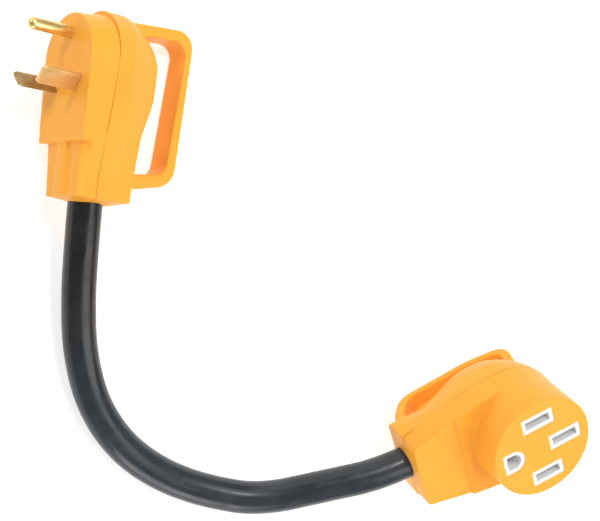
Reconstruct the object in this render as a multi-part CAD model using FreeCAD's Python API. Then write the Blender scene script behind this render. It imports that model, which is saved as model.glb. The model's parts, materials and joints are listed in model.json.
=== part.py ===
import FreeCAD, Part
import math
import os

# Dogbone power adapter for a recreational vehicle: a right-angle 30 A plug and a right-angle
# 50 A connector on a short, stiff cable. It lies on a table, +Z up, in millimetres.
# The origin is the middle of the underside of the two housings together.

V = FreeCAD.Vector

# ---- cable ----
CABLE_DIAMETER = 17.0
CABLE_INSERTION = 10.0           # length of jacket gripped inside each neck
BORE_CLEARANCE = 0.1
LEAD_DIAMETER = 4.3
LEAD_SPREAD = 3.2                # the three conductors' distance from the cable's centre

HANDLE_ROUNDING = 1.2

# ---- plug, in its own frame: x across, y up from the face's lower edge, z out along the prongs ----
PLUG_LEAN = 17.5                 # degrees; it lies on one side, propped by the edge of its handle
PLUG_PLACE = V(-127.6, 51.5, 0)
PLUG_FACE_RADIUS = 22.0
PLUG_FACE_CENTRE_Y = 40.5
PLUG_LEDGE_HALF_WIDTH = 21.2     # the face's lower edge overhangs the neck as a ledge
PLUG_SEAM_Z = -14.5
PLUG_SEAM_RADIUS = 23.5
PLUG_SEAM_CENTRE_Y = 41.0
PLUG_SEAM_FOOT_HALF_WIDTH = 16.4
PLUG_LOBE_RADIUS = 23.7          # the rear shell stands a little proud of the front one
PLUG_LOBE_CENTRE_Y = 42.6
PLUG_NECK_END_Y = -26.0
PLUG_BACK_Z = -46.0
PLUG_CABLE_Z = -16.5
PLUG_HANDLE_WIDTH = 15.6
PLUG_HANDLE_OUTER = [(63.3, -28.0), (65.9, -67.8), (-14.0, -62.0), (-19.2, -34.0)]
PLUG_HANDLE_OUTER_RADII = [8.5, 11.0]
PLUG_HANDLE_INNER = [(57.2, -28.0), (59.8, -63.9), (-8.8, -56.6), (-11.4, -32.0)]
PLUG_HANDLE_INNER_RADII = [6.0, 6.5]
PLUG_WALL = 3.0
PLUG_HOLLOW_FOOT_HALF_WIDTH = 12.0
PLUG_HOLLOW_SEAM_RADIUS = 20.0
PLUG_HOLLOW_BACK_RADIUS = 13.4
PLUG_HOLLOW_BACK_Z = -34.0
PIN_RADIUS = 3.05
PIN_SHANK_RADIUS = 2.6           # the stretch behind the face
PIN_LENGTH = 22.5
PIN_Y = 53.0
BLADE_X = 11.2
BLADE_Y = 27.8
BLADE_WIDTH = 9.6
BLADE_THICKNESS = 1.7
BLADE_LENGTH = 20.3
BLADE_TIP_CHAMFER = 0.55
CORE_BACK_Z = -13.5
CORE_FOOT_HALF_WIDTH = 13.8
CORE_FOOT_Y = 12.0
CORE_CLEARANCE = 0.4
BARREL_END_Z = -24.0
BARREL_RADIUS = 3.2
BARREL_WIRE_RADIUS = 1.7
BARREL_WIRE_DEPTH = 7.0

# Half sections (x, z) of the plug's neck at distances y, from its front corner round to its back.
PLUG_NECK_SECTIONS = {
    PLUG_NECK_END_Y: [(12.8, -2.4), (14.4, -4.4), (13.2, PLUG_SEAM_Z), (12.0, -26.0), (8.6, -36.3)],
    -17.0: [(13.2, -2.4), (14.9, -4.4), (13.4, PLUG_SEAM_Z), (12.3, -26.0), (8.8, -36.5)],
    -7.0: [(13.8, -2.4), (15.6, -4.4), (15.1, PLUG_SEAM_Z), (13.7, -26.0), (9.3, -37.0)],
    2.0: [(14.4, -2.4), (16.4, -4.4), (16.9, PLUG_SEAM_Z), (15.2, -26.0), (10.2, -37.9)],
    12.0: [(15.0, -2.4), (17.4, -4.4), (18.6, PLUG_SEAM_Z), (17.0, -26.0), (11.2, -39.5)],
}
PLUG_RIB_SECTION = [(3.4, -1.1), (5.2, -1.9), (5.4, -4.0)]      # raised rib up the neck's front

# The back of the plug's head seen from the side (y, z), and seen from above (x, z).
PLUG_BACK_PROFILE = [
    (67.0, PLUG_SEAM_Z), (67.0, -26.0), (64.9, -32.0), (60.5, -38.5), (54.0, -43.2),
    (47.0, PLUG_BACK_Z), (31.5, PLUG_BACK_Z), (25.0, -44.9), (17.0, -42.1), (8.0, -38.9),
    (0.0, -37.7), (0.0, PLUG_SEAM_Z),
]
PLUG_BACK_ACROSS = [(23.7, PLUG_SEAM_Z), (20.3, -25.5), (14.5, -37.0), (9.0, PLUG_BACK_Z)]

# ---- connector, in its own frame: x across, y away from the cable, z out of the face ----
CONNECTOR_YAW = -60.5
CONNECTOR_PITCH = 8.0            # the stiff cable holds the face end up
CONNECTOR_ROLL = 20.0            # it leans over on the edge of its handle
CONNECTOR_PLACE = V(122.9, -79.8, 0)
FACE_RADIUS = 28.5
BOSS_BASE_RADIUS = 28.9
HEAD_RADIUS = 29.4
SHOULDER_Z = -20.0
STEP_Y = -35.5                   # the head's front stands proud of the neck's by a step here
CONNECTOR_NECK_END_Y = -61.0
CONNECTOR_NECK_FRONT_Z = -21.5
CONNECTOR_SEAM_Z = -34.0
CONNECTOR_BACK_Z = -65.0
CONNECTOR_CABLE_Z = -36.5
CONNECTOR_HANDLE_WIDTH = 16.0
CONNECTOR_HANDLE_OUTER = [
    (21.0, -42.0), (29.5, -80.5), (4.0, -83.4), (-41.0, -80.2), (-52.5, -66.0), (-51.0, -42.0),
]
CONNECTOR_HANDLE_OUTER_RADII = [7.0, 60.0, 8.0, 10.0]
CONNECTOR_HANDLE_INNER = [
    (14.0, -42.0), (23.2, -76.6), (4.0, -79.4), (-38.0, -76.0), (-45.6, -65.0), (-45.0, -42.0),
]
CONNECTOR_HANDLE_INNER_RADII = [5.0, 56.0, 5.0, 5.0]

# Half of the connector's plan (x, y) from the neck's end up to where the round head takes over.
CONNECTOR_SIDE = [(20.0, CONNECTOR_NECK_END_Y), (22.4, -49.0), (25.2, STEP_Y), (28.1, -23.0),
                  (29.3, -10.0)]

# The back of the connector seen from the side (y, z), and seen from above (x, z).
CONNECTOR_BACK_PROFILE = [
    (CONNECTOR_NECK_END_Y, -49.5), (-48.5, -48.2), (-39.0, -50.2), (-27.5, -56.0), (-16.0, -61.8),
    (-8.0, -64.6), (0.0, -64.6), (8.0, -61.6), (17.0, -54.5), (24.0, -46.0), (30.0, CONNECTOR_SEAM_Z),
]
CONNECTOR_BACK_ACROSS = [(31.0, CONNECTOR_SEAM_Z), (30.0, -46.0), (27.0, -54.0), (21.0, -61.6),
                         (9.0, CONNECTOR_BACK_Z)]
FACE_WALL = 3.5
HOT_SLOT_X = 17.1
NEUTRAL_SLOT_Y = 13.5
GROUND_SLOT_Y = -17.2
RIM_LENGTH = 18.2
RIM_WIDTH = 8.8
SLOT_LENGTH = 14.4
SLOT_WIDTH = 4.6
GROUND_RIM_WIDTH = 12.2
GROUND_RIM_DEPTH = 11.8
GROUND_SLOT_RADIUS = 4.2
GROUND_SLOT_DEPTH = 8.0
RIM_CLEARANCE = 0.1
INSERT_RADIUS = 24.5
INSERT_BACK_Z = -14.0
CONTACT_TOP_Z = -15.0
CONTACT_DEPTH = 16.0
LEAF_THICKNESS = 0.9
CONTACT_WIDTH = 12.0
JUMPER_THICKNESS = 1.2
JUMPER_WIDTH = 8.0
JUMPER_OVERLAP = 2.0             # beyond the middle of each hot contact
REAR_HOLLOW_RADIUS = 21.0
REAR_HOLLOW_DEPTH = 14.0
LEAD_ROOM_HALF_WIDTH = 12.5
LEAD_ROOM_BACK_Z = -46.0
LEAD_ROOM_FRONT_Z = -26.0

# Route of the cable's centre between its two straight ends, which run out of the necks.
CABLE_STRAIGHT_END = 14.0        # from each neck's end to the first bend's corner
CABLE_ROUTE = [
    V(-109.6, -22.5, 15.5), V(-104.8, -50.8, 10.5), V(-95.2, -76.0, 8.5), V(-78.3, -96.6, 8.5),
    V(-55.8, -110.4, 8.5), V(-30.0, -118.6, 10.5), V(-4.0, -119.4, 16.5), V(26.0, -110.3, 28.0),
]


# ---- helpers ----

def polygon_face(points):
    return Part.Face(Part.makePolygon(points + [points[0]]))


def box(x_low, x_high, y_low, y_high, z_low, z_high):
    return Part.makeBox(x_high - x_low, y_high - y_low, z_high - z_low, V(x_low, y_low, z_low))


def dome_wire(bottom_half_width, bottom_y, radius, centre_y, z):
    """Outline with a straight foot and a round top; its sides run tangent into the round top."""
    dx = bottom_half_width
    dy = bottom_y - centre_y
    angle = math.atan2(dy, dx) + math.acos(radius / math.hypot(dx, dy))
    touch = V(radius * math.cos(angle), centre_y + radius * math.sin(angle), z)
    mirrored = V(-touch.x, touch.y, z)
    foot_left = V(-bottom_half_width, bottom_y, z)
    foot_right = V(bottom_half_width, bottom_y, z)
    top = V(0, centre_y + radius, z)
    return Part.Wire([
        Part.LineSegment(foot_left, foot_right).toShape(),
        Part.LineSegment(foot_right, touch).toShape(),
        Part.Arc(touch, top, mirrored).toShape(),
        Part.LineSegment(mirrored, foot_left).toShape(),
    ])


def prism_along_z(wire, z_low):
    """The solid between a wire and the level z_low."""
    height = z_low - wire.BoundBox.ZMin
    return Part.Face(wire).extrude(V(0, 0, height))


def prism_along_x(points_yz, half_width):
    points = [V(-half_width, y, z) for y, z in points_yz]
    return polygon_face(points).extrude(V(2 * half_width, 0, 0))


def smooth_edge(points):
    """One smooth curve through the points."""
    curve = Part.BSplineCurve()
    curve.interpolate(points)
    return curve.toShape()


def prism_along_y(points_xz, y_low, y_high):
    points = [V(x, y_low, z) for x, z in points_xz]
    return polygon_face(points).extrude(V(0, y_high - y_low, 0))


def mirrored_outline(half_outline):
    """Points of a closed outline that is the same on both sides of x = 0."""
    return half_outline + [(-x, z) for x, z in reversed(half_outline)]


def rounded_polyline(corners, radii):
    """Edges of an open path through the corners in the x = 0 plane, each corner rounded."""
    edges = []
    start = corners[0]
    for before, corner, after, radius in zip(corners, corners[1:], corners[2:], radii):
        back = (before - corner).normalize()
        ahead = (after - corner).normalize()
        half_angle = back.getAngle(ahead) / 2
        cut = radius / math.tan(half_angle)
        middle_ray = (back + ahead).normalize()
        entry = corner + back * cut
        leave = corner + ahead * cut
        deepest = corner + middle_ray * (radius / math.sin(half_angle) - radius)
        edges.append(Part.LineSegment(start, entry).toShape())
        edges.append(Part.Arc(entry, deepest, leave).toShape())
        start = leave
    edges.append(Part.LineSegment(start, corners[-1]).toShape())
    return edges


def handle_loop(outer, outer_radii, inner, inner_radii, width, rounding):
    """A flat bar bent into a D, from its outer and inner outlines in the y-z plane."""
    outer_points = [V(0, y, z) for y, z in outer]
    inner_points = [V(0, y, z) for y, z in reversed(inner)]
    edges = rounded_polyline(outer_points, outer_radii)
    edges.append(Part.LineSegment(outer_points[-1], inner_points[0]).toShape())
    edges += rounded_polyline(inner_points, list(reversed(inner_radii)))
    edges.append(Part.LineSegment(inner_points[-1], outer_points[0]).toShape())
    face = Part.Face(Part.Wire(edges))
    face.translate(V(-width / 2, 0, 0))
    bar = face.extrude(V(width, 0, 0))
    long_edges = [edge for edge in bar.Edges if edge.BoundBox.XLength < 0.01
                  and edge.BoundBox.ZMin < max(z for _, z in outer) - 0.5]
    return bar.makeFillet(rounding, long_edges)


def rod(start, end, radius):
    axis = end - start
    return Part.makeCylinder(radius, axis.Length, start, axis)


def lead(points, radius):
    """An insulated conductor through the points, with a ball at each bend."""
    shape = rod(points[0], points[1], radius)
    for before, after in zip(points[1:], points[2:]):
        shape = shape.fuse(Part.makeSphere(radius, before))
        shape = shape.fuse(rod(before, after, radius))
    return shape.removeSplitter()


def cable_cores(z, ground_angle):
    """Where the hot, neutral and ground conductors leave the cable's end, at y = 0."""
    cores = {}
    for name, angle in (("hot", 0), ("neutral", 180), ("ground", ground_angle)):
        turn = math.radians(angle)
        cores[name] = V(LEAD_SPREAD * math.cos(turn), 0, z + LEAD_SPREAD * math.sin(turn))
    return cores


# ---- plug ----

def plug_placement():
    lie_down = FreeCAD.Rotation(V(0, 1, 0), PLUG_LEAN - 90)
    return FreeCAD.Placement(PLUG_PLACE, lie_down)


def plug_neck():
    wires = []
    for y, half_section in PLUG_NECK_SECTIONS.items():
        points = [V(x, y, z) for x, z in mirrored_outline(half_section)]
        wires.append(Part.makePolygon(points + [points[0]]))
    rib = prism_along_y(mirrored_outline(PLUG_RIB_SECTION), PLUG_NECK_END_Y, 1.0)
    return Part.makeLoft(wires, True, True).fuse(rib)


def plug_outside():
    """Both shells without the handle, as one solid, before it is split and hollowed."""
    face = dome_wire(PLUG_LEDGE_HALF_WIDTH, 0, PLUG_FACE_RADIUS, PLUG_FACE_CENTRE_Y, 0)
    seam = dome_wire(PLUG_SEAM_FOOT_HALF_WIDTH, 0, PLUG_SEAM_RADIUS, PLUG_SEAM_CENTRE_Y,
                     PLUG_SEAM_Z)
    front = Part.makeLoft([face, seam], True, True)
    lobe = dome_wire(PLUG_SEAM_FOOT_HALF_WIDTH, 0, PLUG_LOBE_RADIUS, PLUG_LOBE_CENTRE_Y,
                     PLUG_SEAM_Z)
    rear = prism_along_z(lobe, PLUG_BACK_Z)
    rear = rear.common(prism_along_x(PLUG_BACK_PROFILE, 30))
    rear = rear.common(prism_along_y(mirrored_outline(PLUG_BACK_ACROSS), -1, 75))
    return front.fuse(rear).fuse(plug_neck())


def plug_handle():
    return handle_loop(PLUG_HANDLE_OUTER, PLUG_HANDLE_OUTER_RADII, PLUG_HANDLE_INNER,
                       PLUG_HANDLE_INNER_RADII, PLUG_HANDLE_WIDTH, HANDLE_ROUNDING)


def plug_hollow():
    front = dome_wire(PLUG_HOLLOW_FOOT_HALF_WIDTH, -4.0, PLUG_FACE_RADIUS - PLUG_WALL,
                      PLUG_FACE_CENTRE_Y, -PLUG_WALL)
    front = prism_along_z(front, PLUG_SEAM_Z)
    wide = dome_wire(PLUG_HOLLOW_FOOT_HALF_WIDTH, -8.0, PLUG_HOLLOW_SEAM_RADIUS,
                     PLUG_SEAM_CENTRE_Y, PLUG_SEAM_Z)
    narrow = dome_wire(PLUG_HOLLOW_FOOT_HALF_WIDTH - 0.5, 2.0, PLUG_HOLLOW_BACK_RADIUS,
                       PLUG_LOBE_CENTRE_Y, PLUG_HOLLOW_BACK_Z)
    rear = Part.makeLoft([wide, narrow], True, True)
    jacket_end = V(0, PLUG_NECK_END_Y + CABLE_INSERTION, PLUG_CABLE_Z)
    channel = rod(jacket_end, V(0, 10, PLUG_CABLE_Z), CABLE_DIAMETER / 2 + BORE_CLEARANCE)
    bore = rod(V(0, PLUG_NECK_END_Y - 1, PLUG_CABLE_Z), jacket_end,
               CABLE_DIAMETER / 2 + BORE_CLEARANCE)
    return front.fuse(rear).fuse(channel).fuse(bore)


def blade_bar(side, width, thickness, back_z, front_z):
    bar = box(-thickness / 2, thickness / 2, -width / 2, width / 2, back_z, front_z)
    bar.rotate(V(0, 0, 0), V(0, 0, 1), -45 * side)
    bar.translate(V(side * BLADE_X, BLADE_Y, 0))
    return bar


def barrel(x, y):
    outside = Part.makeCylinder(BARREL_RADIUS, CORE_BACK_Z - BARREL_END_Z, V(x, y, BARREL_END_Z))
    wire_hole = Part.makeCylinder(BARREL_WIRE_RADIUS, BARREL_WIRE_DEPTH, V(x, y, BARREL_END_Z))
    return outside.cut(wire_hole)


def prong_blade(side):
    bar = blade_bar(side, BLADE_WIDTH, BLADE_THICKNESS, CORE_BACK_Z, BLADE_LENGTH)
    tip_edges = [edge for edge in bar.Edges if edge.BoundBox.ZMin > BLADE_LENGTH - 0.01
                 and edge.Length > BLADE_THICKNESS + 1]
    bar = bar.makeChamfer(BLADE_TIP_CHAMFER, tip_edges)
    return bar.fuse(barrel(side * BLADE_X, BLADE_Y)).removeSplitter()


def ground_pin():
    round_start = V(0, PIN_Y, PIN_LENGTH - PIN_RADIUS)
    shaft = rod(V(0, PIN_Y, 0), round_start, PIN_RADIUS)
    shank = rod(V(0, PIN_Y, CORE_BACK_Z), V(0, PIN_Y, 0), PIN_SHANK_RADIUS)
    tip = Part.makeSphere(PIN_RADIUS, round_start)
    return shaft.fuse(shank).fuse(tip).fuse(barrel(0, PIN_Y)).removeSplitter()


def plug_core():
    outline = dome_wire(CORE_FOOT_HALF_WIDTH, CORE_FOOT_Y,
                        PLUG_FACE_RADIUS - PLUG_WALL - CORE_CLEARANCE, PLUG_FACE_CENTRE_Y,
                        -PLUG_WALL)
    core = prism_along_z(outline, CORE_BACK_Z)
    return core.cut(prongs())


def prongs():
    return prong_blade(1).fuse(prong_blade(-1)).fuse(ground_pin())


def plug_leads():
    cores = cable_cores(PLUG_CABLE_Z, -90)
    start_y = PLUG_NECK_END_Y + CABLE_INSERTION
    ends = {"hot": V(BLADE_X, BLADE_Y, 0), "neutral": V(-BLADE_X, BLADE_Y, 0),
            "ground": V(0, PIN_Y, 0)}
    leads = {}
    for name, end in ends.items():
        core = cores[name]
        points = [
            V(core.x, start_y, core.z),
            V(core.x, start_y + 10, core.z),
            V(end.x, end.y - 10, BARREL_END_Z - 2),
            V(end.x, end.y, BARREL_END_Z - 4),
            V(end.x, end.y, BARREL_END_Z),
        ]
        leads[name] = lead(points, LEAD_DIAMETER / 2)
    return leads


def plug_parts():
    body = plug_outside()
    front_half = box(-60, 60, -60, 100, PLUG_SEAM_Z, 60)
    front = body.common(front_half).cut(plug_hollow()).cut(prongs())
    back_half = box(-60, 60, -60, 100, -100, PLUG_SEAM_Z)
    rear = body.common(back_half).fuse(plug_handle()).cut(plug_hollow()).removeSplitter()
    leads = plug_leads()
    return {
        "plug_front_shell": front,
        "plug_rear_shell": rear,
        "plug_core": plug_core(),
        "hot_blade": prong_blade(1),
        "neutral_blade": prong_blade(-1),
        "plug_ground_pin": ground_pin(),
        "plug_hot_lead": leads["hot"],
        "plug_neutral_lead": leads["neutral"],
        "plug_ground_lead": leads["ground"],
    }


# ---- connector ----

def connector_placement():
    yaw = FreeCAD.Rotation(V(0, 0, 1), CONNECTOR_YAW)
    pitch = FreeCAD.Rotation(V(1, 0, 0), CONNECTOR_PITCH)
    roll = FreeCAD.Rotation(V(0, 1, 0), CONNECTOR_ROLL)
    return FreeCAD.Placement(CONNECTOR_PLACE, yaw.multiply(pitch).multiply(roll))


def connector_plan(z):
    """Outline of the round head and its neck: smooth sides that run into the round."""
    right = [V(x, y, z) for x, y in CONNECTOR_SIDE]
    touch = V(math.sqrt(HEAD_RADIUS ** 2 - CONNECTOR_SIDE[-1][1] ** 2), CONNECTOR_SIDE[-1][1], z)
    right[-1] = touch
    left = [V(-point.x, point.y, z) for point in reversed(right)]
    return Part.Wire([
        Part.LineSegment(left[-1], right[0]).toShape(),
        smooth_edge(right),
        Part.Arc(touch, V(0, HEAD_RADIUS, z), left[0]).toShape(),
        smooth_edge(left),
    ])


def connector_front_outside():
    boss = Part.makeCone(BOSS_BASE_RADIUS, FACE_RADIUS, -SHOULDER_Z, V(0, 0, SHOULDER_Z))
    head = prism_along_z(connector_plan(SHOULDER_Z), CONNECTOR_SEAM_Z)
    head = head.common(box(-50, 50, STEP_Y, 50, CONNECTOR_SEAM_Z, SHOULDER_Z))
    neck = prism_along_z(connector_plan(CONNECTOR_NECK_FRONT_Z), CONNECTOR_SEAM_Z)
    return boss.fuse(head).fuse(neck)


def connector_rear_outside():
    plan = prism_along_z(connector_plan(CONNECTOR_SEAM_Z), CONNECTOR_BACK_Z)
    profile = [V(-40, y, z) for y, z in CONNECTOR_BACK_PROFILE]
    seam_end = V(-40, CONNECTOR_NECK_END_Y, CONNECTOR_SEAM_Z)
    side = Part.Wire([
        smooth_edge(profile),
        Part.LineSegment(profile[-1], seam_end).toShape(),
        Part.LineSegment(seam_end, profile[0]).toShape(),
    ])
    shape = plan.common(Part.Face(side).extrude(V(80, 0, 0)))
    return shape.common(prism_along_y(mirrored_outline(CONNECTOR_BACK_ACROSS), -80, 40))


def connector_handle():
    return handle_loop(CONNECTOR_HANDLE_OUTER, CONNECTOR_HANDLE_OUTER_RADII,
                       CONNECTOR_HANDLE_INNER, CONNECTOR_HANDLE_INNER_RADII,
                       CONNECTOR_HANDLE_WIDTH, HANDLE_ROUNDING)


def connector_hollow():
    front = Part.makeCylinder(INSERT_RADIUS + 0.4, -FACE_WALL - CONNECTOR_SEAM_Z,
                              V(0, 0, CONNECTOR_SEAM_Z))
    rear = Part.makeCylinder(REAR_HOLLOW_RADIUS, REAR_HOLLOW_DEPTH,
                             V(0, 0, CONNECTOR_SEAM_Z - REAR_HOLLOW_DEPTH))
    jacket_end = V(0, CONNECTOR_NECK_END_Y + CABLE_INSERTION, CONNECTOR_CABLE_Z)
    bore = rod(V(0, CONNECTOR_NECK_END_Y - 1, CONNECTOR_CABLE_Z), V(0, -15, CONNECTOR_CABLE_Z),
               CABLE_DIAMETER / 2 + BORE_CLEARANCE)
    room = box(-LEAD_ROOM_HALF_WIDTH, LEAD_ROOM_HALF_WIDTH, jacket_end.y, 0,
               LEAD_ROOM_BACK_Z, LEAD_ROOM_FRONT_Z)
    return front.fuse(rear).fuse(bore).fuse(room)


def straight_slot(x, y, width, length, z_low, z_high):
    return box(x - width / 2, x + width / 2, y - length / 2, y + length / 2, z_low, z_high)


def straight_slots():
    return [(-HOT_SLOT_X, 0), (HOT_SLOT_X, 0), (0, NEUTRAL_SLOT_Y)]


def ground_slot(width, depth, z_low, z_high):
    """A D-shaped block: flat on the cable side, round towards the face's centre."""
    radius = width / 2
    flat_y = GROUND_SLOT_Y - depth / 2
    round_y = GROUND_SLOT_Y + depth / 2 - radius
    straight = box(-radius, radius, flat_y, round_y, z_low, z_high)
    curve = Part.makeCylinder(radius, z_high - z_low, V(0, round_y, z_low))
    return straight.fuse(curve).removeSplitter()


def rims(clearance, z_low, z_high):
    grow = 2 * clearance
    shape = ground_slot(GROUND_RIM_WIDTH + grow, GROUND_RIM_DEPTH + grow, z_low, z_high)
    for x, y in straight_slots():
        shape = shape.fuse(straight_slot(x, y, RIM_WIDTH + grow, RIM_LENGTH + grow, z_low, z_high))
    return shape


def slot_openings(z_low, z_high):
    shape = ground_slot(2 * GROUND_SLOT_RADIUS, GROUND_SLOT_DEPTH, z_low, z_high)
    for x, y in straight_slots():
        shape = shape.fuse(straight_slot(x, y, SLOT_WIDTH, SLOT_LENGTH, z_low, z_high))
    return shape


def connector_insert():
    plate = Part.makeCylinder(INSERT_RADIUS, -FACE_WALL - INSERT_BACK_Z, V(0, 0, INSERT_BACK_Z))
    insert = plate.fuse(rims(0, -FACE_WALL - 0.5, 0))
    return insert.cut(slot_openings(INSERT_BACK_Z - 1, 1)).removeSplitter()


def leaf_contact(x, y):
    """A folded spring contact: two leaves either side of the slot, joined at the back."""
    gap = SLOT_WIDTH - 1.4
    outer = gap + 2 * LEAF_THICKNESS
    back_z = CONTACT_TOP_Z - CONTACT_DEPTH
    shape = straight_slot(x, y, outer, CONTACT_WIDTH, back_z, CONTACT_TOP_Z)
    return shape.cut(straight_slot(x, y, gap, CONTACT_WIDTH + 2, back_z + LEAF_THICKNESS,
                                   CONTACT_TOP_Z + 1))


def ground_contact():
    back_z = CONTACT_TOP_Z - CONTACT_DEPTH
    centre = V(0, GROUND_SLOT_Y, back_z)
    outside = Part.makeCylinder(GROUND_SLOT_RADIUS + 0.7, CONTACT_DEPTH, centre)
    inside = Part.makeCylinder(GROUND_SLOT_RADIUS - 0.4, CONTACT_DEPTH,
                               centre + V(0, 0, LEAF_THICKNESS))
    return outside.cut(inside)


def hot_jumper():
    """The strap that feeds both hot contacts from the one hot conductor."""
    top = CONTACT_TOP_Z - CONTACT_DEPTH
    reach = HOT_SLOT_X + JUMPER_OVERLAP
    half_width = JUMPER_WIDTH / 2
    return box(-reach, reach, -half_width, half_width, top - JUMPER_THICKNESS, top)


def connector_leads():
    cores = cable_cores(CONNECTOR_CABLE_Z, 90)
    start_y = CONNECTOR_NECK_END_Y + CABLE_INSERTION
    back = CONTACT_TOP_Z - CONTACT_DEPTH
    routes = {
        "hot": [V(9, -20, -40), V(12, 0, -38), V(12, 0, back - JUMPER_THICKNESS)],
        "neutral": [V(-6, -20, -42), V(-3, 6, -42), V(0, NEUTRAL_SLOT_Y, -38),
                    V(0, NEUTRAL_SLOT_Y, back)],
        "ground": [V(0, GROUND_SLOT_Y - 5, -36), V(0, GROUND_SLOT_Y, -34),
                   V(0, GROUND_SLOT_Y, back)],
    }
    leads = {}
    for name, route in routes.items():
        core = cores[name]
        straight_out = [V(core.x, start_y, core.z), V(core.x, start_y + 8, core.z)]
        leads[name] = lead(straight_out + route, LEAD_DIAMETER / 2)
    return leads


def connector_parts():
    hollow = connector_hollow()
    front = connector_front_outside().cut(hollow).cut(rims(RIM_CLEARANCE, -FACE_WALL - 1, 1))
    rear = connector_rear_outside().fuse(connector_handle()).cut(hollow)
    leads = connector_leads()
    return {
        "connector_front_shell": front.removeSplitter(),
        "connector_rear_shell": rear.removeSplitter(),
        "connector_insert": connector_insert(),
        "hot_x_contact": leaf_contact(-HOT_SLOT_X, 0),
        "hot_y_contact": leaf_contact(HOT_SLOT_X, 0),
        "neutral_contact": leaf_contact(0, NEUTRAL_SLOT_Y),
        "connector_ground_contact": ground_contact(),
        "hot_jumper_strap": hot_jumper(),
        "connector_hot_lead": leads["hot"],
        "connector_neutral_lead": leads["neutral"],
        "connector_ground_lead": leads["ground"],
    }


# ---- cable ----

def straight_end(placement, neck_end_y, cable_z):
    """The run from inside a neck to just outside it, along the cable's axis there."""
    inside = placement.multVec(V(0, neck_end_y + CABLE_INSERTION, cable_z))
    outside = placement.multVec(V(0, neck_end_y - CABLE_STRAIGHT_END, cable_z))
    return [inside, outside]


def cable_jacket(route):
    """A tube of full section: straight runs joined by tangent arcs."""
    edges = []
    start = route[0]
    for before, corner, after in zip(route, route[1:], route[2:]):
        back = (before - corner).normalize()
        ahead = (after - corner).normalize()
        half_turn = (math.pi - back.getAngle(ahead)) / 2
        cut = 0.45 * min((before - corner).Length, (after - corner).Length)
        radius = cut / math.tan(half_turn)
        print("cord point %.1f %.1f %.1f: radius %.1f mm, turn %.1f degrees"
              % (corner.x, corner.y, corner.z, radius, math.degrees(2 * half_turn)))
        middle_ray = (back + ahead).normalize()
        deepest = corner + middle_ray * (radius / math.cos(half_turn) - radius)
        entry = corner + back * cut
        leave = corner + ahead * cut
        edges.append(Part.LineSegment(start, entry).toShape())
        edges.append(Part.Arc(entry, deepest, leave).toShape())
        start = leave
    edges.append(Part.LineSegment(start, route[-1]).toShape())
    path = Part.Wire(edges)
    section = Part.Wire(Part.makeCircle(CABLE_DIAMETER / 2, route[0], route[1] - route[0]))
    tube = path.makePipeShell([section], True, False)
    expected = path.Length * math.pi * CABLE_DIAMETER ** 2 / 4
    print("cord from %.2f %.2f %.2f to %.2f %.2f %.2f" % (*route[0], *route[-1]))
    print("cord length %.1f mm, tube volume / section x length %.4f"
          % (path.Length, tube.Volume / expected))
    return tube


def lowest_point(shape):
    points, _ = shape.tessellate(0.02)
    return min(point.z for point in points)


def set_down(parts, placement):
    """Lower the placement until the lowest piece touches the table."""
    lowest = min(lowest_point(shape.transformed(placement.Matrix)) for shape in parts.values())
    placement.Base = placement.Base - V(0, 0, lowest)
    return placement


def main():
    os.makedirs("parts", exist_ok=True)
    plug = plug_parts()
    connector = connector_parts()
    at_plug = set_down(plug, plug_placement())
    at_connector = set_down(connector, connector_placement())
    plug_end = straight_end(at_plug, PLUG_NECK_END_Y, PLUG_CABLE_Z)
    connector_end = straight_end(at_connector, CONNECTOR_NECK_END_Y, CONNECTOR_CABLE_Z)
    placed = {"cable_jacket": cable_jacket(plug_end + CABLE_ROUTE + connector_end[::-1])}
    for parts, placement in ((plug, at_plug), (connector, at_connector)):
        for name, shape in parts.items():
            placed[name] = shape.transformed(placement.Matrix)
    for name, shape in placed.items():
        shape.exportStep("parts/" + name + ".step")


main()
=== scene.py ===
import json
import math

import bmesh
import bpy
from mathutils import Euler, Matrix, Vector


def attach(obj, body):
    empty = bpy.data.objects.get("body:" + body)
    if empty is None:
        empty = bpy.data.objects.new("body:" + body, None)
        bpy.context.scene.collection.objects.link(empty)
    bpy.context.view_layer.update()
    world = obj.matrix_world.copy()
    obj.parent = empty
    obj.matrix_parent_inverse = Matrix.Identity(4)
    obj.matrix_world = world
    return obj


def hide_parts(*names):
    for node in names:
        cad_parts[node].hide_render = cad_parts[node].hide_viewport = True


# Looks of the dogbone power adapter: two moulded housings with pull handles on one thick cable.
# The cable and camera are in metres in the row frame. Each housing is built in millimetres in its
# own frame: x across, y away from the cable, z out of the face that the prongs or slots are in.

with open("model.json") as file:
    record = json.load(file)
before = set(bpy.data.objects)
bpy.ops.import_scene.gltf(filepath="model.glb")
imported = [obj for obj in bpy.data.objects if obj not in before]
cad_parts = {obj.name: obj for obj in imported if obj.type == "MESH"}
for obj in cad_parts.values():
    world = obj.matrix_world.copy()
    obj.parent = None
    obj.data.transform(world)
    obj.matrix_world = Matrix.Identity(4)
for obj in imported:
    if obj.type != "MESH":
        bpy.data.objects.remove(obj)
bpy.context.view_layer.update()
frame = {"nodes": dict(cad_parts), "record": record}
MOUNTS = {mount["name"]: mount for mount in frame["record"]["mounts"]}

# ---- cable ----
CABLE_DIAMETER = 0.017
CABLE_ROUTE = [
    (-0.11186, 0.03550, 0.02235), (-0.11186, 0.01150, 0.02235), (-0.1096, -0.0225, 0.0155),
    (-0.1048, -0.0508, 0.0105), (-0.0952, -0.0760, 0.0085), (-0.0783, -0.0966, 0.0085),
    (-0.0558, -0.1101, 0.0085), (-0.0300, -0.1176, 0.0105), (-0.0040, -0.1201, 0.0165),
    (0.0262, -0.1105, 0.0280), (0.0561, -0.1015, 0.0381), (0.0768, -0.0898, 0.0414),
]

BLACK_UNTIL_Y = -0.020           # the jacket's base colour turns from black to a painted bluish-grey sheen between these two
PAINTED_SHEEN_FROM_Y = -0.085

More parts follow.
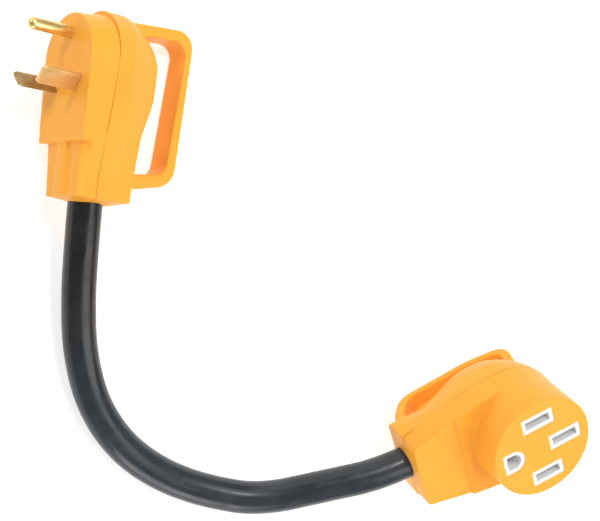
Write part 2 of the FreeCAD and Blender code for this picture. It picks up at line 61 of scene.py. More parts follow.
# ---- camera and lights, in metres; the lights point at the origin ----
CAMERA_LENS = 72.0
CAMERA_PLACE = (-0.24716, -0.01675, 0.59915)
CAMERA_TURN = (0.03, -23.65, 5.14)          # degrees about x, y and z
LIGHTS = [
    # name, place, width, watts
    ("key", (0.05, 0.55, 1.0), 0.7, 3.3),
    ("prong_light", (-0.85, 0.50, 0.50), 0.22, 2.1),
    ("fill", (0.7, -0.4, 0.95), 1.0, 8.3),
    ("back_light", (-0.30, 0.85, 0.35), 0.6, 1.2),
    ("streak_light", (-0.03, 0.33, 0.86), 0.05, 1.5),
    ("low_light", (-0.20, -0.90, 0.22), 0.5, 3.0),
]
WORLD_STRENGTH = 0.36

# ---- both housings, in millimetres ----
CURVE_STEPS = 8                  # points on each span of a smooth curve
BEND_STEPS = 10                  # steps round each rounded corner of a handle
FOOT_STEPS = 6                   # half of an outline: its foot, the foot's corner, its side, its top
CORNER_STEPS = 8
SIDE_POINTS = 26
TOP_STEPS = 24
BAR_STATIONS = 120               # sections along a handle
BAR_CORNER_STEPS = 4
VOXEL = 0.5                      # grid that merges the pieces of one moulding
CREASE = 38                      # degrees; a sharper edge than this is shaded sharp
FOOT_CORNER = 0.4                # rounding at the two ends of an outline's foot

# ---- plug ----
PLUG_FACE_POINT_Y = 40.0         # where the face's mount lies along y in the plug's own frame
PLUG_SEAM_Z = -14.5
PLUG_SEAM_GAP = 0.10             # each shell stops this short of the seam
PLUG_NECK_END_Y = -26.0
PLUG_NECK_BULGE = 3.0            # how far the neck's end bulges towards the cable
PLUG_BULGE_MIDDLE_Z = -19.0      # where it bulges most
PLUG_BULGE_HALF_HEIGHT = 17.0
# Half of the rib's outline, as (x, z).
PLUG_RIB_HALF = [(2.4, -0.50), (3.8, -0.70), (4.7, -1.20), (5.2, -2.0), (5.4, -3.0), (5.5, -5)]
PLUG_RIB_STATIONS = (0.2, 13.0, 28.0)       # along the neck, from its end
PLUG_HANDLE_OUTER = [(63.3, -28), (65.9, -67.8), (-14.0, -62.0), (-19.2, -34)]
PLUG_HANDLE_OUTER_RADII = [9.0, 11.5]
PLUG_HANDLE_INNER = [(57.2, -28), (59.8, -63.9), (-8.8, -56.6), (-11.4, -32)]
PLUG_HANDLE_INNER_RADII = [7.0, 7.0]
PLUG_HANDLE_WIDTH = 15.6
PLUG_HANDLE_EDGE = 0.8

# ---- prongs ----
PRONG_ROOT_Z = -13.0             # how far back they reach into the plug
PIN_Y = 53.0
PIN_RADIUS = 3.05
PIN_ROOT_RADIUS = 2.6
PIN_SHOULDER_Z = -0.2
PIN_DOME_START_Z = 19.4
PIN_DOME_HEIGHT = 3.1
BLADE_X = 11.2
BLADE_Y = 27.8
BLADE_TURN = 45                  # degrees; the blades spread away from the cable
BLADE_HALF_WIDTH = 4.8
BLADE_THICKNESS = 1.7
BLADE_LENGTH = 20.3
BLADE_CLIP_ACROSS = 0.9
BLADE_CLIP_ALONG = 1.8
BLADE_EDGE = 0.28

# ---- connector ----
CONNECTOR_SEAM_Z = -34.0
CONNECTOR_SEAM_GAP = 0.06
CONNECTOR_NECK_END_Y = -61.0
CONNECTOR_FOOT_CORNER = 3.2
CONNECTOR_NECK_BULGE = 0.8
CONNECTOR_BULGE_MIDDLE_Z = -35.0
CONNECTOR_BULGE_HALF_HEIGHT = 14.0
BOSS_SECTIONS = ((-38.0, 28.9), (-20.0, 28.9), (-8.0, 28.7), (0.0, 28.5))       # z, radius
HEEL_TOP_Z = -40
HEEL_SECTIONS = ((20.6, -61.0, -50.6), (21.8, -54, -49.3), (22.2, -47, -47.5))  # half width, y, z
HEEL_TAPER = 2.2
CONNECTOR_HANDLE_OUTER = [(21, -42), (29.5, -80.5), (4.0, -83.4), (-41.0, -80.2), (-52.5, -66.0),
                          (-51.0, -42)]
CONNECTOR_HANDLE_OUTER_RADII = [7.0, 60.0, 16.0, 17.0]
CONNECTOR_HANDLE_INNER = [(14, -42), (23.2, -76.6), (4.0, -79.4), (-38.0, -76.0), (-45.6, -65.0),
                          (-45.0, -42)]
CONNECTOR_HANDLE_INNER_RADII = [5.0, 56.0, 12.0, 13.0]
CONNECTOR_HANDLE_WIDTH = 16.0
CONNECTOR_HANDLE_EDGE = 1.1

# ---- openings in the connector's face for the insert's rims ----
HOT_RIM_X = 17.1
NEUTRAL_RIM_Y = 13.5
SLOT_RIM_SIZE = (8.9, 18.3)
GROUND_RIM_Y = -17.2
GROUND_RIM_HALF_HEIGHT = 5.95
GROUND_RIM_RADIUS = 6.15
CUT_DEPTH = 30.0


# ---- objects and meshes ----

def link(name, data):
    """A new object with this data, in the scene."""
    thing = bpy.data.objects.new(name, data)
    bpy.context.scene.collection.objects.link(thing)
    return thing


def as_mesh(name, shape):
    """The bmesh as a mesh; the bmesh is freed."""
    mesh = bpy.data.meshes.new(name)
    shape.to_mesh(mesh)
    shape.free()
    return mesh


# ---- camera ----

def make_camera():
    data = bpy.data.cameras.new("camera")
    data.sensor_width = 36.0
    data.lens = CAMERA_LENS
    camera = link("camera", data)
    camera.location = CAMERA_PLACE
    camera.rotation_euler = Euler([math.radians(angle) for angle in CAMERA_TURN])
    bpy.context.scene.camera = camera


# ---- outlines ----

def smooth_path(points):
    """Catmull-Rom curve through the points; two points stay a straight line."""
    if len(points) < 3:
        return points
    padded = [points[0], *points, points[-1]]
    curve = []
    for p0, p1, p2, p3 in zip(padded, padded[1:], padded[2:], padded[3:]):
        for step in range(CURVE_STEPS):
            t = step / CURVE_STEPS
            curve.append(tuple(
                0.5 * (2 * b + (c - a) * t + (2 * a - 5 * b + 4 * c - d) * t * t
                       + (3 * b - a - 3 * c + d) * t ** 3)
                for a, b, c, d in zip(p0, p1, p2, p3)))
    curve.append(points[-1])
    return curve


def resample(points, count):
    """The polyline as count points, evenly spaced along it."""
    vectors = [Vector(point) for point in points]
    lengths = [0.0]
    for before, after in zip(vectors, vectors[1:]):
        lengths.append(lengths[-1] + (after - before).length)
    result = []
    index = 0
    for step in range(count):
        along = lengths[-1] * step / (count - 1)
        while index < len(lengths) - 2 and lengths[index + 1] < along:
            index += 1
        span = max(lengths[index + 1] - lengths[index], 1e-9)
        share = min(max((along - lengths[index]) / span, 0.0), 1.0)
        result.append(vectors[index].lerp(vectors[index + 1], share))
    return result


def dome_ring(z, sides, radius, centre_y, crown=0.0, corner=FOOT_CORNER):
    """Closed outline at depth z: a foot, sides through (half width, y), and a round top.

    The foot bulges down by the crown and has rounded corners. The last side runs tangent into
    the round top. Every outline has the same number of points, so that any two can be lofted.
    """
    last_x, last_y = sides[-1]
    dx = last_x
    dy = last_y - centre_y
    reach = max(math.hypot(dx, dy), radius)
    start = math.atan2(dy, dx) + math.acos(radius / reach)
    touch = (radius * math.cos(start), centre_y + radius * math.sin(start))
    foot_x, foot_y = sides[0]
    flat_x = foot_x - corner
    foot = [(flat_x * i / FOOT_STEPS, foot_y - crown * (1 - (i / FOOT_STEPS) ** 2))
            for i in range(FOOT_STEPS)]
    for i in range(CORNER_STEPS):
        angle = math.pi / 2 / CORNER_STEPS * i
        foot.append((flat_x + corner * math.sin(angle), foot_y + corner * (1 - math.cos(angle))))
    side = resample(smooth_path([(foot_x, foot_y + corner), *sides[1:], touch]), SIDE_POINTS)
    arc = []
    for i in range(1, TOP_STEPS + 1):
        angle = start + (math.pi / 2 - start) * i / TOP_STEPS
        arc.append((radius * math.cos(angle), centre_y + radius * math.sin(angle)))
    right = [(p[0], p[1], z) for p in [*foot, *side, *arc]]
    left = [(-x, y, z) for x, y, _ in reversed(right[1:-1])]
    return right + left


def circle_ring(z, radius, count=120):
    turns = [2 * math.pi * i / count for i in range(count)]
    return [(radius * math.cos(turn), radius * math.sin(turn), z) for turn in turns]


def rounded_path(corners, radii):
    """Open path through the (y, z) corners, each inner corner rounded by an arc."""
    points = [Vector(corners[0])]
    for before, corner, after, radius in zip(corners, corners[1:], corners[2:], radii):
        corner = Vector(corner)
        back = (Vector(before) - corner).normalized()
        ahead = (Vector(after) - corner).normalized()
        half_angle = back.angle(ahead) / 2
        centre = corner + (back + ahead).normalized() * (radius / math.sin(half_angle))
        entry = corner + back * (radius / math.tan(half_angle)) - centre
        leave = corner + ahead * (radius / math.tan(half_angle)) - centre
        for step in range(BEND_STEPS + 1):
            share = step / BEND_STEPS
            direction = entry.normalized().lerp(leave.normalized(), share).normalized()
            points.append(centre + direction * radius)
    points.append(Vector(corners[-1]))
    return points


# ---- meshes ----

def loft(rings):
    """A closed mesh through rings that have the same number of points."""
    mesh = bmesh.new()
    loops = [[mesh.verts.new(point) for point in ring] for ring in rings]
    for low, high in zip(loops, loops[1:]):
        for i in range(len(low)):
            j = (i + 1) % len(low)
            mesh.faces.new((low[i], low[j], high[j], high[i]))
    mesh.faces.new(list(reversed(loops[0])))
    mesh.faces.new(loops[-1])
    bmesh.ops.recalc_face_normals(mesh, faces=mesh.faces)
    return mesh


def handle_bar(outer, outer_radii, inner, inner_radii, width, edge):
    """A flat bar bent into a D, from its outer and inner outlines in the y-z plane."""
    outside = resample(rounded_path(outer, outer_radii), BAR_STATIONS)
    inside = resample(rounded_path(inner, inner_radii), BAR_STATIONS)
    rings = []
    for far, near in zip(outside, inside):
        thickness = (near - far).length
        inward = (near - far).normalized()
        ring = []
        for corner, (side, depth) in enumerate(((1, 1), (-1, 1), (-1, -1), (1, -1))):
            for step in range(BAR_CORNER_STEPS + 1):
                angle = (corner + step / BAR_CORNER_STEPS) * math.pi / 2
                x = side * (width / 2 - edge) + edge * math.cos(angle)
                t = depth * (thickness / 2 - edge) + edge * math.sin(angle)
                spot = far + inward * (thickness / 2 + t)
                ring.append((x, spot.x, spot.y))
        rings.append(ring)
    return loft(rings)


def merge(pieces, rounds):
    """The pieces as one closed mesh, its edges softened by so many rounds of smoothing."""
    whole = bmesh.new()
    for piece in pieces:
        part = as_mesh("part", piece)
        whole.from_mesh(part)
        bpy.data.meshes.remove(part)
    joined = as_mesh("joined", whole)
    holder = link("holder", joined)
    remesh = holder.modifiers.new("merge", "REMESH")
    remesh.mode = "VOXEL"
    remesh.voxel_size = VOXEL
    soften = holder.modifiers.new("soften", "SMOOTH")
    soften.factor = 0.5
    soften.iterations = rounds
    graph = bpy.context.evaluated_depsgraph_get()
    mesh = bpy.data.meshes.new_from_object(holder.evaluated_get(graph))
    bpy.data.objects.remove(holder)
    bpy.data.meshes.remove(joined)
    return mesh


def cut_off(mesh, z, keep_below):
    """Cuts the mesh level at z, closes the cut and keeps one side."""
    work = bmesh.new()
    work.from_mesh(mesh)
    geometry = work.verts[:] + work.edges[:] + work.faces[:]
    bmesh.ops.bisect_plane(work, geom=geometry, plane_co=(0, 0, z), plane_no=(0, 0, 1),
                           clear_outer=keep_below, clear_inner=not keep_below)
    rim = [edge for edge in work.edges if edge.is_boundary]
    bmesh.ops.contextual_create(work, geom=rim)
    work.to_mesh(mesh)
    work.free()


def place(name, mesh, housing, material, slot, *nodes):
    """Moves a housing's mesh from its own frame in millimetres into the row frame, as a piece."""
    mesh.transform(housing)
    for polygon in mesh.polygons:
        polygon.use_smooth = True
    mesh.set_sharp_from_angle(angle=math.radians(CREASE))
    piece = link(name, mesh)
    piece.data.materials.clear()
    piece.data.materials.append(material)
    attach(piece, "root")
    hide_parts(*nodes)
    return piece


# ---- housings' frames ----

def own_frame(origin, x, y, z):
    """Matrix from a housing's own frame in millimetres to the row frame in metres."""
    turn = Matrix((x, y, z)).transposed().to_4x4()
    return Matrix.Translation(origin) @ turn @ Matrix.Scale(0.001, 4)


def plug_frame():
    face = MOUNTS["plug_face"]
    z = Vector(face["axis"])
    y = Vector((0, 1, 0))
    return own_frame(Vector(face["pos_m"]) - PLUG_FACE_POINT_Y / 1000 * y, y.cross(z), y, z)


def connector_frame():
    face = MOUNTS["connector_face"]
    z = Vector(face["axis"])
    across = Vector(MOUNTS["hot_y_socket"]["pos_m"]) - Vector(MOUNTS["hot_x_socket"]["pos_m"])
    x = across.normalized()
    return own_frame(Vector(face["pos_m"]), x, z.cross(x), z)


# ---- plug ----

def bulge(z, depth, middle_z, half_height):
    """How far a neck's end bulges at depth z: most in the middle, nothing at front and back."""
    return depth * max(0.0, 1 - ((z - middle_z) / half_height) ** 2)


def plug_crown(z):
    return bulge(z, PLUG_NECK_BULGE, PLUG_BULGE_MIDDLE_Z, PLUG_BULGE_HALF_HEIGHT)


def plug_front():
    foot = PLUG_NECK_END_Y
    head = loft([
        dome_ring(-18.0, [(16.4, 0), (20.2, 19)], 23.6, 41.0),
        dome_ring(-14.5, [(16.5, 0), (20.4, 19)], 23.5, 41.0),
        dome_ring(-12.0, [(17.4, 0), (20.9, 19)], 23.0, 41.0),
        dome_ring(-8.0, [(18.8, 0), (21.4, 19)], 22.5, 40.8),
        dome_ring(-4.0, [(20.2, 0), (21.8, 19)], 22.2, 40.6),
        dome_ring(0.0, [(21.2, 0), (21.9, 19)], 22.0, 40.5),
    ])
    neck = loft([
        dome_ring(-18.0, [(13.0, foot), (13.1, -17), (15.0, -7), (18.0, 7)], 18.0, 30,
                  plug_crown(-18)),
        dome_ring(-14.5, [(13.1, foot), (13.3, -17), (15.1, -7), (18.0, 7)], 18.0, 30,
                  plug_crown(-14.5)),
        dome_ring(-10.0, [(13.9, foot), (14.3, -17), (16.5, -8), (19.0, 4)], 18.4, 30,
                  plug_crown(-10)),
        dome_ring(-6.5, [(14.5, foot), (15.1, -17), (17.2, -8), (20.0, 4)], 18.6, 30,
                  plug_crown(-6.5)),
        dome_ring(-3.4, [(14.6, foot), (15.3, -14), (16.8, 0), (17.6, 6)], 17.0, 30,
                  plug_crown(-3.4)),
        dome_ring(-2.3, [(13.6, foot), (14.4, -14), (15.8, 0), (16.6, 6)], 16.0, 30,
                  plug_crown(-2.3)),
    ])
    rib_outline = [(-x, z) for x, z in reversed(PLUG_RIB_HALF)] + PLUG_RIB_HALF
    rib = loft([[(x, foot + along, z) for x, z in rib_outline] for along in PLUG_RIB_STATIONS])
    mesh = merge([head, neck, rib], 6)
    cut_off(mesh, PLUG_SEAM_Z + PLUG_SEAM_GAP, keep_below=False)
    return mesh


def plug_rear():
    foot = PLUG_NECK_END_Y
    lobe = loft([
        dome_ring(-45.9, [(6.5, 31)], 7.5, 39.5),
        dome_ring(-45.2, [(8.8, 26)], 9.8, 41.0),
        dome_ring(-42.5, [(9.6, 18), (11.2, 25)], 11.8, 43.2),
        dome_ring(-38.5, [(9.6, 5), (12.4, 16)], 13.8, 45.4),
        dome_ring(-36.6, [(8.6, foot), (9.0, -15), (10.2, 0), (13.2, 16)], 14.8, 46.0,
                  plug_crown(-36)),
        dome_ring(-32.0, [(10.2, foot), (10.6, -15), (12.2, 0), (15.6, 17)], 17.2, 46.6,
                  plug_crown(-32)),
        dome_ring(-26.2, [(11.9, foot), (12.3, -15), (14.2, 1), (18.2, 17)], 19.9, 46.4,
                  plug_crown(-26)),
        dome_ring(-24.6, [(12.6, foot), (12.9, -16), (15.3, 0), (19.3, 18)], 20.9, 45.6,
                  plug_crown(-24)),
        dome_ring(-14.5, [(13.3, foot), (13.5, -17), (16.0, -4), (20.8, 19)], 23.7, 42.6,
                  plug_crown(-14.5)),
        dome_ring(-11.0, [(13.3, foot), (13.5, -17), (16.0, -4), (20.8, 19)], 23.7, 42.6,
                  plug_crown(-11)),
    ])
    handle = handle_bar(PLUG_HANDLE_OUTER, PLUG_HANDLE_OUTER_RADII, PLUG_HANDLE_INNER,
                        PLUG_HANDLE_INNER_RADII, PLUG_HANDLE_WIDTH, PLUG_HANDLE_EDGE)
    mesh = merge([lobe, handle], 12)
    cut_off(mesh, PLUG_SEAM_Z - PLUG_SEAM_GAP, keep_below=True)
    return mesh


# ---- connector ----

def connector_crown(z):
    return bulge(z, CONNECTOR_NECK_BULGE, CONNECTOR_BULGE_MIDDLE_Z, CONNECTOR_BULGE_HALF_HEIGHT)


def connector_front():
    foot = CONNECTOR_NECK_END_Y
    corner = CONNECTOR_FOOT_CORNER
    boss = loft([circle_ring(z, radius) for z, radius in BOSS_SECTIONS])
    head = loft([
        dome_ring(-38.0, [(25.4, -35.5), (28.4, -22), (29.5, -12)], 29.5, 0),
        dome_ring(-34.0, [(25.4, -35.5), (28.4, -22), (29.5, -12)], 29.5, 0),
        dome_ring(-27.0, [(25.6, -35.5), (28.3, -22), (29.2, -12)], 29.2, 0),
        dome_ring(-20.0, [(25.6, -35.5), (27.8, -22), (28.5, -12)], 28.7, 0),
    ])
    neck = loft([
        dome_ring(-38.0, [(20.4, foot), (22.6, -49), (25.2, -37), (28.0, -24)], 28.0, -5,
                  connector_crown(-38), corner),
        dome_ring(-34.0, [(20.3, foot), (22.6, -49), (25.2, -37), (28.0, -24)], 28.0, -5,
                  connector_crown(-34), corner),
        dome_ring(-26.0, [(20.1, foot), (22.4, -49), (25.2, -36.5), (26.6, -24)], 26.6, -5,
                  connector_crown(-26), corner),
        dome_ring(-21.5, [(19.8, foot), (21.9, -49), (24.9, -36.5), (26.0, -24)], 26.0, -5,
                  connector_crown(-22), corner),
    ])
    mesh = merge([boss, head, neck], 6)
    cut_off(mesh, CONNECTOR_SEAM_Z + CONNECTOR_SEAM_GAP, keep_below=False)
    return mesh


def connector_rear():
    foot = CONNECTOR_NECK_END_Y
    lobe = loft([
        dome_ring(-64.6, [(8.0, -9)], 9.0, -2.0),
        dome_ring(-63.0, [(13.0, -13), (15.4, -8)], 15.6, -3.0),
        dome_ring(-59.5, [(18.0, -17), (21.2, -10)], 21.4, -4.0),
        dome_ring(-55.0, [(21.4, -23), (24.8, -14)], 25.2, -4.0),
        dome_ring(-50.5, [(20.6, -33), (24.2, -26), (27.0, -14)], 27.2, -3.0),
        dome_ring(-49.0, [(18.6, foot), (17.6, -48), (18.8, -39), (23.8, -27), (27.4, -14)], 27.6, -2.6,
                  connector_crown(-49)),
        dome_ring(-46.0, [(20.4, foot), (20.6, -48), (21.4, -39), (25.0, -27), (28.2, -14)], 28.4, -1.8,
                  connector_crown(-46)),
        dome_ring(-41.0, [(20.6, foot), (22.0, -49), (23.8, -38), (27.0, -25), (29.2, -12)], 29.2, -0.6,
                  connector_crown(-41)),
        dome_ring(-34.0, [(20.3, foot), (22.6, -49), (25.4, -36.5), (28.4, -23), (29.6, -12)], 29.7, 0,
                  connector_crown(-34)),
        dome_ring(-30.0, [(20.3, foot), (22.6, -49), (25.4, -36.5), (28.4, -23), (29.6, -12)], 29.7, 0,
                  connector_crown(-30)),
    ])
    heel = loft([[(-half, y, HEEL_TOP_Z), (half, y, HEEL_TOP_Z),
                  (half - HEEL_TAPER, y, z), (HEEL_TAPER - half, y, z)]
                 for half, y, z in HEEL_SECTIONS])
    handle = handle_bar(CONNECTOR_HANDLE_OUTER, CONNECTOR_HANDLE_OUTER_RADII,
                        CONNECTOR_HANDLE_INNER, CONNECTOR_HANDLE_INNER_RADII,
                        CONNECTOR_HANDLE_WIDTH, CONNECTOR_HANDLE_EDGE)
    mesh = merge([lobe, heel, handle], 10)
    cut_off(mesh, CONNECTOR_SEAM_Z - CONNECTOR_SEAM_GAP, keep_below=True)
    return mesh


def slot_cutter():
    """Three blocks the size of the straight slots' rims."""
    blocks = bmesh.new()
    for x, y in ((-HOT_RIM_X, 0), (HOT_RIM_X, 0), (0, NEUTRAL_RIM_Y)):
        size = Matrix.Diagonal((*SLOT_RIM_SIZE, CUT_DEPTH, 1.0))
        bmesh.ops.create_cube(blocks, size=1, matrix=Matrix.Translation((x, y, 0)) @ size)
    return blocks


def ground_cutter():
    """A block the size of the ground opening's rim: flat towards the cable and round beyond."""
    flat_y = GROUND_RIM_Y - GROUND_RIM_HALF_HEIGHT
    middle_y = GROUND_RIM_Y + GROUND_RIM_HALF_HEIGHT - GROUND_RIM_RADIUS
    outline = [(-GROUND_RIM_RADIUS, flat_y), (GROUND_RIM_RADIUS, flat_y)]
    for i in range(25):
        angle = math.pi * i / 24
        outline.append((GROUND_RIM_RADIUS * math.cos(angle),
                        middle_y + GROUND_RIM_RADIUS * math.sin(angle)))
    return loft([[(x, y, z) for x, y in outline] for z in (-CUT_DEPTH / 2, CUT_DEPTH / 2)])


def cut_openings(shell, housing):
    """Cuts the openings for the insert's rims through the connector's face."""
    tools = []
    for name, shape in (("slot_cutter", slot_cutter()), ("ground_cutter", ground_cutter())):
        mesh = as_mesh(name, shape)
        mesh.transform(housing)
        tool = link(name, mesh)
        cut = shell.modifiers.new(name, "BOOLEAN")
        cut.object = tool
        cut.solver = "EXACT"
        tools.append(tool)
    graph = bpy.context.evaluated_depsgraph_get()
    result = bpy.data.meshes.new_from_object(shell.evaluated_get(graph))
    shell.modifiers.clear()
    shell.data = result
    for tool in tools:
        bpy.data.objects.remove(tool)


# ---- cable ----

def make_cable(material):
    curve = bpy.data.curves.new("cable", "CURVE")
    curve.dimensions = "3D"
    curve.bevel_depth = CABLE_DIAMETER / 2
    curve.bevel_resolution = 12
    curve.use_fill_caps = True
    curve.resolution_u = 24
    spline = curve.splines.new("NURBS")
    spline.points.add(len(CABLE_ROUTE) - 1)
    for point, stop in zip(spline.points, CABLE_ROUTE):
        point.co = (*stop, 1.0)
    spline.order_u = 3
    spline.use_endpoint_u = True
    cable = link("cable", curve)
    cable.data.materials.append(material)
    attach(cable, "root")
    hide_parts("cable_jacket")


# ---- materials ----

def start_material(name, roughness, metallic=0.0):
    material = bpy.data.materials.new(name)
    material.use_nodes = True
    shader = material.node_tree.nodes["Principled BSDF"]
    shader.inputs["Roughness"].default_value = roughness
    shader.inputs["Metallic"].default_value = metallic
    return material, material.node_tree, shader


def noise(tree, scale, detail, stretch=None):
    """Noise in the row's frame; stretch is (angle about Y, times longer) for a drawn grain."""
    coordinates = tree.nodes.new("ShaderNodeTexCoord")
    texture = tree.nodes.new("ShaderNodeTexNoise")
    texture.inputs["Scale"].default_value = scale
    texture.inputs["Detail"].default_value = detail
    if stretch is None:
        tree.links.new(coordinates.outputs["Object"], texture.inputs["Vector"])
        return texture.outputs["Fac"]
    mapping = tree.nodes.new("ShaderNodeMapping")
    mapping.vector_type = "TEXTURE"
    angle, times_longer = stretch
    mapping.inputs["Rotation"].default_value = (0, angle, 0)
    mapping.inputs["Scale"].default_value = (times_longer, 1, 1)
    tree.links.new(coordinates.outputs["Object"], mapping.inputs["Vector"])
    tree.links.new(mapping.outputs["Vector"], texture.inputs["Vector"])
    return texture.outputs["Fac"]


def two_tones(tree, pattern, dark, light):
    """Colour that drifts between two tones with the pattern."""
    ramp = tree.nodes.new("ShaderNodeValToRGB")
    for element, position, colour in zip(ramp.color_ramp.elements, (0.35, 0.65), (dark, light)):
        element.position = position
        element.color = (*colour, 1)
    tree.links.new(pattern, ramp.inputs["Fac"])
    return ramp.outputs["Color"]


def tint(tree, shader, pattern, dark, light):
    tree.links.new(two_tones(tree, pattern, dark, light), shader.inputs["Base Color"])


def spread(tree, value, start, end, low=0.0, high=1.0):
    """The value's range from start to end, stretched to run from low to high."""
    node = tree.nodes.new("ShaderNodeMapRange")
    for socket, number in (("From Min", start), ("From Max", end), ("To Min", low), ("To Max", high)):
        node.inputs[socket].default_value = number
    tree.links.new(value, node.inputs["Value"])
    return node.outputs["Result"]


def vary_roughness(tree, shader, pattern, low, high):
    tree.links.new(spread(tree, pattern, 0.3, 0.7, low, high), shader.inputs["Roughness"])


def bump(tree, shader, pattern, strength, height):
    node = tree.nodes.new("ShaderNodeBump")
    node.inputs["Strength"].default_value = strength
    node.inputs["Distance"].default_value = height
    tree.links.new(pattern, node.inputs["Height"])
    tree.links.new(node.outputs["Normal"], shader.inputs["Normal"])


def moulded_plastic(name, dark, light, roughness):
    """Moulded plastic: slow drift of colour, a fine satin grain and uneven gloss."""
    material, tree, shader = start_material(name, roughness)
    tint(tree, shader, noise(tree, scale=28, detail=5), dark, light)
    gloss = noise(tree, scale=90, detail=4)
    vary_roughness(tree, shader, gloss, roughness - 0.05, roughness + 0.07)
    bump(tree, shader, noise(tree, scale=1600, detail=3), strength=0.25, height=0.00003)
    shader.inputs["Specular IOR Level"].default_value = 0.13
    return material


def drawn_metal(name, dark, light, roughness, lean):
    """Drawn and tumbled metal: fine scratches along the prong, and stains."""
    material, tree, shader = start_material(name, roughness, metallic=0.9)
    tint(tree, shader, noise(tree, scale=160, detail=6), dark, light)
    scratches = noise(tree, scale=2200, detail=4, stretch=(lean, 30))
    vary_roughness(tree, shader, scratches, roughness - 0.08, roughness + 0.12)
    bump(tree, shader, scratches, strength=0.15, height=0.00001)
    return material


def cable_rubber():
    """Black jacket with uneven gloss; along its bow the base colour turns a lighter bluish grey, a
    painted sheen standing in for reflected light.
    """
    material, tree, shader = start_material("black_jacket", 0.32)
    blotches = noise(tree, scale=60, detail=6)
    black = two_tones(tree, blotches, (0.0060, 0.0064, 0.0058), (0.0120, 0.0128, 0.0118))
    # painted sheen: a lighter bluish grey base colour that stands in for light reflected along the bow
    grey = two_tones(tree, blotches, (0.020, 0.0255, 0.032), (0.030, 0.0365, 0.044))
    coordinates = tree.nodes.new("ShaderNodeTexCoord")
    split = tree.nodes.new("ShaderNodeSeparateXYZ")
    tree.links.new(coordinates.outputs["Object"], split.inputs["Vector"])
    mix = tree.nodes.new("ShaderNodeMixRGB")
    tree.links.new(spread(tree, split.outputs["Y"], BLACK_UNTIL_Y, PAINTED_SHEEN_FROM_Y), mix.inputs["Fac"])
    tree.links.new(black, mix.inputs["Color1"])
    tree.links.new(grey, mix.inputs["Color2"])
    tree.links.new(mix.outputs["Color"], shader.inputs["Base Color"])
    vary_roughness(tree, shader, noise(tree, scale=140, detail=5), low=0.17, high=0.38)
    bump(tree, shader, noise(tree, scale=1400, detail=3), strength=0.3, height=0.00003)
    shader.inputs["Specular IOR Level"].default_value = 0.42
    return material


def pale_floor():
    """Pale paper that also glows a little, as on a light table."""
    material, tree, shader = start_material("paper", 0.95)
    tint(tree, shader, noise(tree, scale=9, detail=4), (0.60, 0.60, 0.60), (0.63, 0.63, 0.63))
    shader.inputs["Emission Color"].default_value = (1, 1, 1, 1)
    shader.inputs["Emission Strength"].default_value = 0.6
    return material


# ---- prongs ----

def soften_edges(piece, width):
    bevel = piece.modifiers.new("soft_edges", "BEVEL")
    bevel.width = width
    bevel.segments = 3
    bevel.limit_method = "ANGLE"
    bevel.angle_limit = math.radians(30)
    bevel.harden_normals = True


def ground_pin(housing, material):
    """The round pin, with a shoulder at the face and a blunt domed end."""
    profile = [(PIN_ROOT_RADIUS, PRONG_ROOT_Z), (PIN_ROOT_RADIUS, PIN_SHOULDER_Z), (PIN_RADIUS, 0.0)]
    for i in range(12):
        angle = math.pi / 2 * i / 12
        profile.append((PIN_RADIUS * math.cos(angle),
                        PIN_DOME_START_Z + PIN_DOME_HEIGHT * math.sin(angle)))
    rings = [[(x, y + PIN_Y, z) for x, y, _ in circle_ring(0, radius, 64)] for radius, z in profile]
    place("ground_pin", as_mesh("pin", loft(rings)), housing, material, "brass", "plug_ground_pin")


def blade(name, side, housing, material, painted_edge_material, node):
    """A flat blade with clipped tip corners; its edge faces get a darker brass, a painted dark
    reflection along the edges.
    """
    half = BLADE_HALF_WIDTH
    clipped = half - BLADE_CLIP_ACROSS
    clip_z = BLADE_LENGTH - BLADE_CLIP_ALONG
    outline = [(-half, PRONG_ROOT_Z), (half, PRONG_ROOT_Z), (half, clip_z), (clipped, BLADE_LENGTH),
               (-clipped, BLADE_LENGTH), (-half, clip_z)]
    turn = Matrix.Translation((side * BLADE_X, BLADE_Y, 0))
    turn = turn @ Matrix.Rotation(math.radians(-BLADE_TURN * side), 4, "Z")
    shape = loft([[turn @ Vector((across, along, z)) for along, z in outline]
                  for across in (-BLADE_THICKNESS / 2, BLADE_THICKNESS / 2)])
    edges = shape.edges[:]
    bmesh.ops.bevel(shape, geom=edges, offset=BLADE_EDGE, segments=3, profile=0.6, affect="EDGES")
    flat = (turn.to_3x3() @ Vector((1, 0, 0))).normalized()
    for face in shape.faces:
        # edge faces take the second, darker material: painted dark reflection
        face.material_index = 0 if abs(face.normal.dot(flat)) > 0.985 else 1
    piece = place(name, as_mesh(name, shape), housing, material, "brass", node)
    piece.data.materials.append(painted_edge_material)
    return piece


# ---- stage ----

def make_floor():
    bpy.ops.mesh.primitive_plane_add(size=4, location=(0, 0, 0))
    floor = bpy.context.object
    floor.name = "floor"
    floor.data.materials.append(pale_floor())


def make_lights():
    for name, location, width, power in LIGHTS:
        data = bpy.data.lights.new(name, "AREA")
        data.size = width
        data.energy = power
        light = link(name, data)
        light.location = location
        light.rotation_euler = (-Vector(location)).to_track_quat("-Z", "Y").to_euler()
    world = bpy.data.worlds.new("world")
    bpy.context.scene.world = world
    world.use_nodes = True
    background = world.node_tree.nodes["Background"]
    background.inputs["Color"].default_value = (1, 1, 1, 1)
    background.inputs["Strength"].default_value = WORLD_STRENGTH
    bpy.context.scene.view_settings.view_transform = "Standard"


# ---- the adapter ----

make_camera()
make_cable(cable_rubber())

PLUG = plug_frame()
CONNECTOR = connector_frame()
LEAN = math.asin(MOUNTS["plug_face"]["axis"][2])

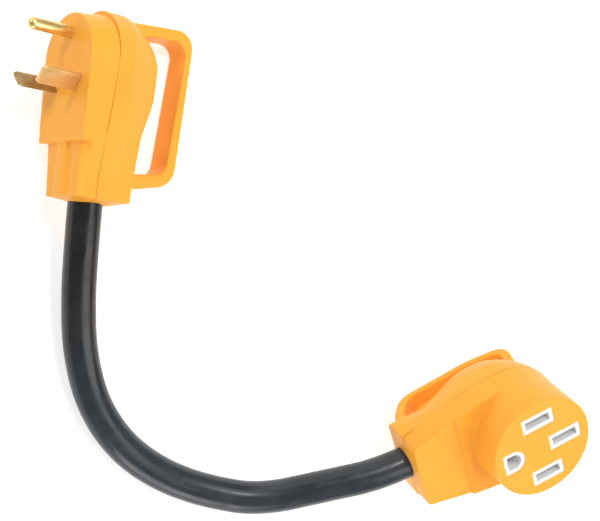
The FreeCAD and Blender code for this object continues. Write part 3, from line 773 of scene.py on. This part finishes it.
orange = moulded_plastic("orange_plastic", (0.91, 0.388, 0.042), (0.94, 0.412, 0.048), 0.33)
white = moulded_plastic("white_insert", (0.78, 0.78, 0.79), (0.84, 0.84, 0.85), 0.5)
gold = drawn_metal("gold_brass", (0.74, 0.52, 0.18), (0.94, 0.69, 0.29), 0.27, LEAN)
tan = drawn_metal("tan_brass", (0.74, 0.48, 0.19), (0.87, 0.59, 0.26), 0.42, LEAN)
# The neutral blade's brass is a darker copy of the hot blade's tan brass: painted shade for the darker
# reflection on that blade.
painted_shade_brass = drawn_metal("painted_shade_brass", (0.32, 0.21, 0.08), (0.46, 0.31, 0.13), 0.42, LEAN)
# darker brass for the blades' edge faces: painted dark reflection, not a different metal
painted_edge_brass = drawn_metal("painted_edge_brass", (0.20, 0.12, 0.05), (0.36, 0.23, 0.10), 0.45, LEAN)
copper = drawn_metal("copper", (0.60, 0.32, 0.18), (0.76, 0.44, 0.28), 0.35, LEAN)
lead_colours = {
    "hot_lead": moulded_plastic("black_lead", (0.02, 0.02, 0.02), (0.05, 0.05, 0.05), 0.5),
    "neutral_lead": moulded_plastic("white_lead", (0.75, 0.75, 0.72), (0.85, 0.85, 0.82), 0.5),
    "ground_lead": moulded_plastic("green_lead", (0.03, 0.22, 0.07), (0.05, 0.32, 0.10), 0.5),
}
node_materials = {
    "plug_core": white, "connector_insert": white, "hot_jumper_strap": copper,
    "hot_x_contact": tan, "hot_y_contact": tan, "neutral_contact": tan,
    "connector_ground_contact": tan,
}
for name, node in frame["nodes"].items():
    ending = name.split("_", 1)[1]
    material = node_materials.get(name, lead_colours.get(ending))
    if material is not None:
        node.data.materials.clear()
        node.data.materials.append(material)
soften_edges(frame["nodes"]["connector_insert"], 0.0003)

ground_pin(PLUG, gold)
blade("blade_hot", 1, PLUG, tan, painted_edge_brass, "hot_blade")
blade("blade_neutral", -1, PLUG, painted_shade_brass, painted_edge_brass, "neutral_blade")
place("plug_front", plug_front(), PLUG, orange, "housing", "plug_front_shell")
place("plug_rear", plug_rear(), PLUG, orange, "housing", "plug_rear_shell")
shell = place("connector_front", connector_front(), CONNECTOR, orange, "housing",
              "connector_front_shell")
cut_openings(shell, CONNECTOR)
place("connector_rear", connector_rear(), CONNECTOR, orange, "housing", "connector_rear_shell")

make_floor()
make_lights()
